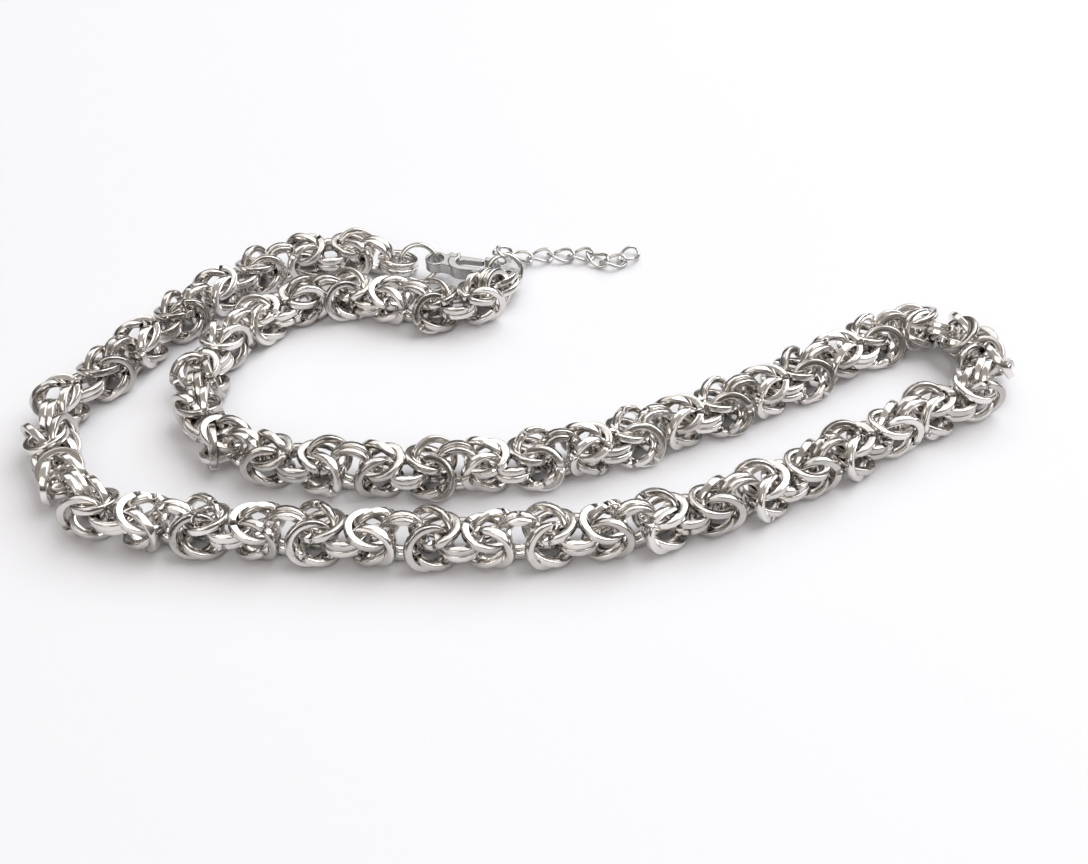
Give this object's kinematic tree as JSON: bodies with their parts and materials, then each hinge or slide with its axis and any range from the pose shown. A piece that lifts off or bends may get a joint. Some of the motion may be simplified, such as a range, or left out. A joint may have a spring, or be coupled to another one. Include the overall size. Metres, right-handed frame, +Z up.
{
  "type": "chainmail necklace",
  "caption": "Woven chainmail necklace of bright steel rings lying in a folded loop, closed by a lobster clasp, with a short twisted-link extender.",
  "frame": {"origin": "middle of the underside of the box round the whole necklace, on the surface it lies on", "axes": "+Z up from the surface; +X along the lying necklace's long way, towards the tight fold; +Y away from the viewer, towards the clasp and the extender"},
  "size_m": [0.1556, 0.078, 0.0098],
  "materials": {
    "chain_steel": "polished stainless steel, square wire",
    "clasp_steel": "polished cast steel",
    "wire_steel": "polished round steel wire"
  },
  "bodies": {
    "necklace": {"woven_chain_front": "chain_steel", "woven_chain_back": "chain_steel", "clasp_jump_ring": "wire_steel", "extender_jump_ring": "wire_steel", "clasp_body": "clasp_steel", "clasp_pin": "clasp_steel", "extender_link_01": "wire_steel", "extender_link_02": "wire_steel", "extender_link_03": "wire_steel", "extender_link_04": "wire_steel", "extender_link_05": "wire_steel", "extender_link_06": "wire_steel", "extender_link_07": "wire_steel", "extender_link_08": "wire_steel", "extender_link_09": "wire_steel"},
    "lever": {"clasp_lever": "clasp_steel"}
  },
  "joints": [
    {"name": "lever_pivot", "type": "hinge", "parent": "necklace", "child": "lever", "pos_m": [-0.01342, 0.03193, 0.0033], "axis": [0, 0, -1], "range_deg": [0, 26], "stiffness_Nm_per_rad": 0.002, "springref_deg": -17.19}
  ]
}
